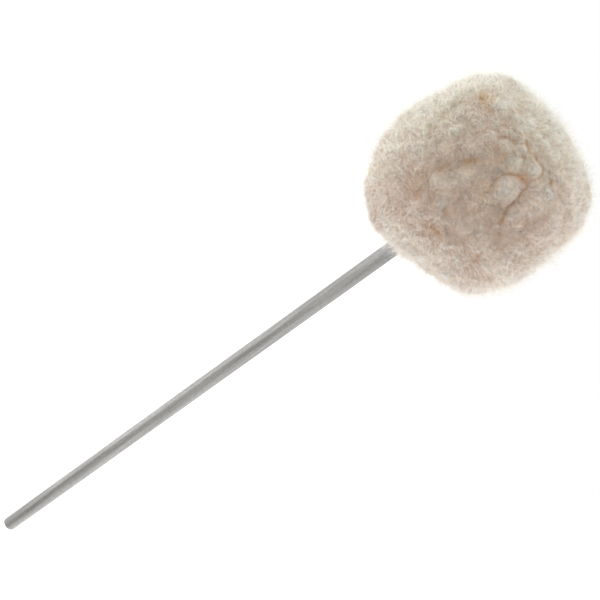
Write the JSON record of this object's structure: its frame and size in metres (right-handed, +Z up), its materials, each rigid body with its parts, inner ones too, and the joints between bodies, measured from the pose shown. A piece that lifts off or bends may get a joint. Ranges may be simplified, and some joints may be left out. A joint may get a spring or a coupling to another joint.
{
  "type": "bass drum beater",
  "caption": "Large soft lambswool drum beater: a deep fleece head with a hard core on a straight round steel rod, for a bass drum pedal.",
  "frame": {"origin": "on the rod's axis, at the middle of the stretch of rod that a pedal's hub clamps, 45 mm above the rod's tail end", "axes": "+Z up the rod towards the head; the head is round about Z, so X and Y are free"},
  "size_m": [0.0782, 0.0778, 0.3067],
  "materials": {
    "rod_steel": "brushed lengthwise, bright",
    "fastener_steel": "zinc plated",
    "core_wood": "turned, unvarnished",
    "felt": "pressed wool felt",
    "hide": "suede",
    "cord": "waxed thread",
    "wool": "long curly lambswool pile"
  },
  "bodies": {
    "root": {"shaft": "rod_steel", "lower_nut": "fastener_steel", "lower_washer": "fastener_steel", "core": "core_wood", "upper_washer": "fastener_steel", "lock_washer": "fastener_steel", "upper_nut": "fastener_steel", "felt_sleeve": "felt", "felt_cap": "felt", "cover_side": "hide", "cover_crown": "hide", "seam_thread": "cord", "neck_tie": "cord", "wool_side": "wool", "wool_crown": "wool"}
  },
  "joints": []
}
